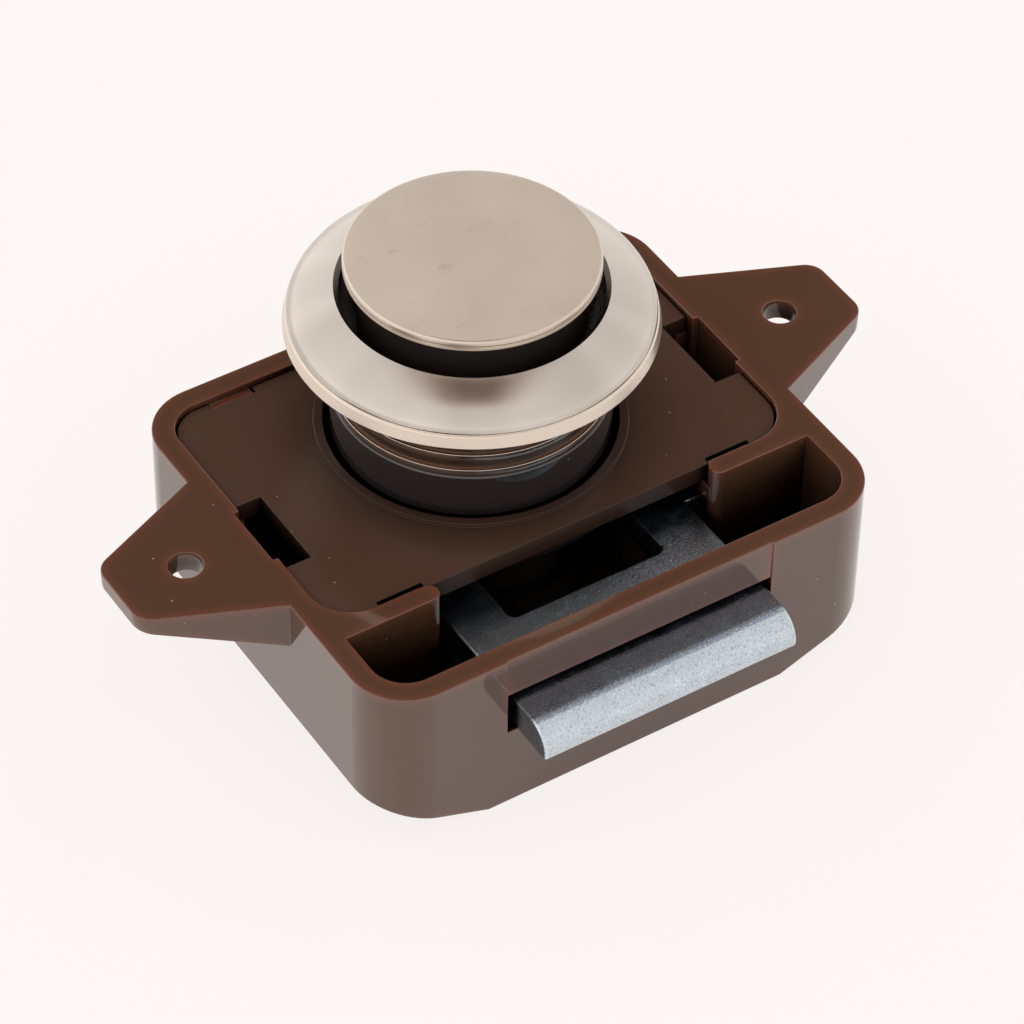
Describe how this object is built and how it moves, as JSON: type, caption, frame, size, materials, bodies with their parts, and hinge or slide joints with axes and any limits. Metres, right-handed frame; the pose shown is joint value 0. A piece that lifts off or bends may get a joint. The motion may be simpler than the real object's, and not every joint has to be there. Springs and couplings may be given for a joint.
{
  "type": "push button cabinet lock",
  "caption": "Surface-mounted push button lock for a cabinet door: a moulded case with two screw ears, a sliding spring bolt, a latching knob and a rosette for the panel hole.",
  "frame": {"origin": "on the axis of the knob and its tube, in the plane of the case's rim and ears that lies against the panel", "axes": "+Z out of the panel along the knob, +X along the two ears, -Y the way the bolt throws"},
  "size_m": [0.0762, 0.0498, 0.0369],
  "materials": {
    "case_plastic": "glossy reddish brown moulding",
    "cover_plastic": "glossy dark brown moulding",
    "black_plastic": "glossy black moulding",
    "satin_nickel": "satin nickel plating",
    "zinc_plate": "blue-white zinc plating over steel",
    "spring_steel": "plain spring steel"
  },
  "bodies": {
    "housing": {"case": "case_plastic", "cover": "cover_plastic", "guide_tube": "black_plastic", "return_spring": "spring_steel", "bolt_spring_left": "spring_steel", "bolt_spring_right": "spring_steel", "latch_wire": "spring_steel"},
    "knob": {"knob_cap": "satin_nickel", "knob_core": "black_plastic", "knob_screw": "spring_steel", "plunger": "black_plastic"},
    "bolt": {"bolt": "zinc_plate"},
    "rosette": {"rosette": "satin_nickel"}
  },
  "joints": [
    {"name": "knob_push", "type": "slide", "parent": "housing", "child": "knob", "axis": [0, 0, 1], "range_m": [-0.0008, 0.008], "stiffness_N_per_m": 1500, "deforming": ["return_spring", "latch_wire"]},
    {"name": "bolt_slide", "type": "slide", "parent": "housing", "child": "bolt", "axis": [0, 1, 0], "range_m": [-0.00053, 0.0053], "deforming": ["bolt_spring_left", "bolt_spring_right"]},
    {"name": "rosette_lift", "type": "slide", "parent": "housing", "child": "rosette", "axis": [0, 0, 1], "range_m": [0, 0.06]}
  ],
  "couplings": [
    {"joint": "bolt_slide", "follows": "knob_push", "ratio": 0.65}
  ]
}
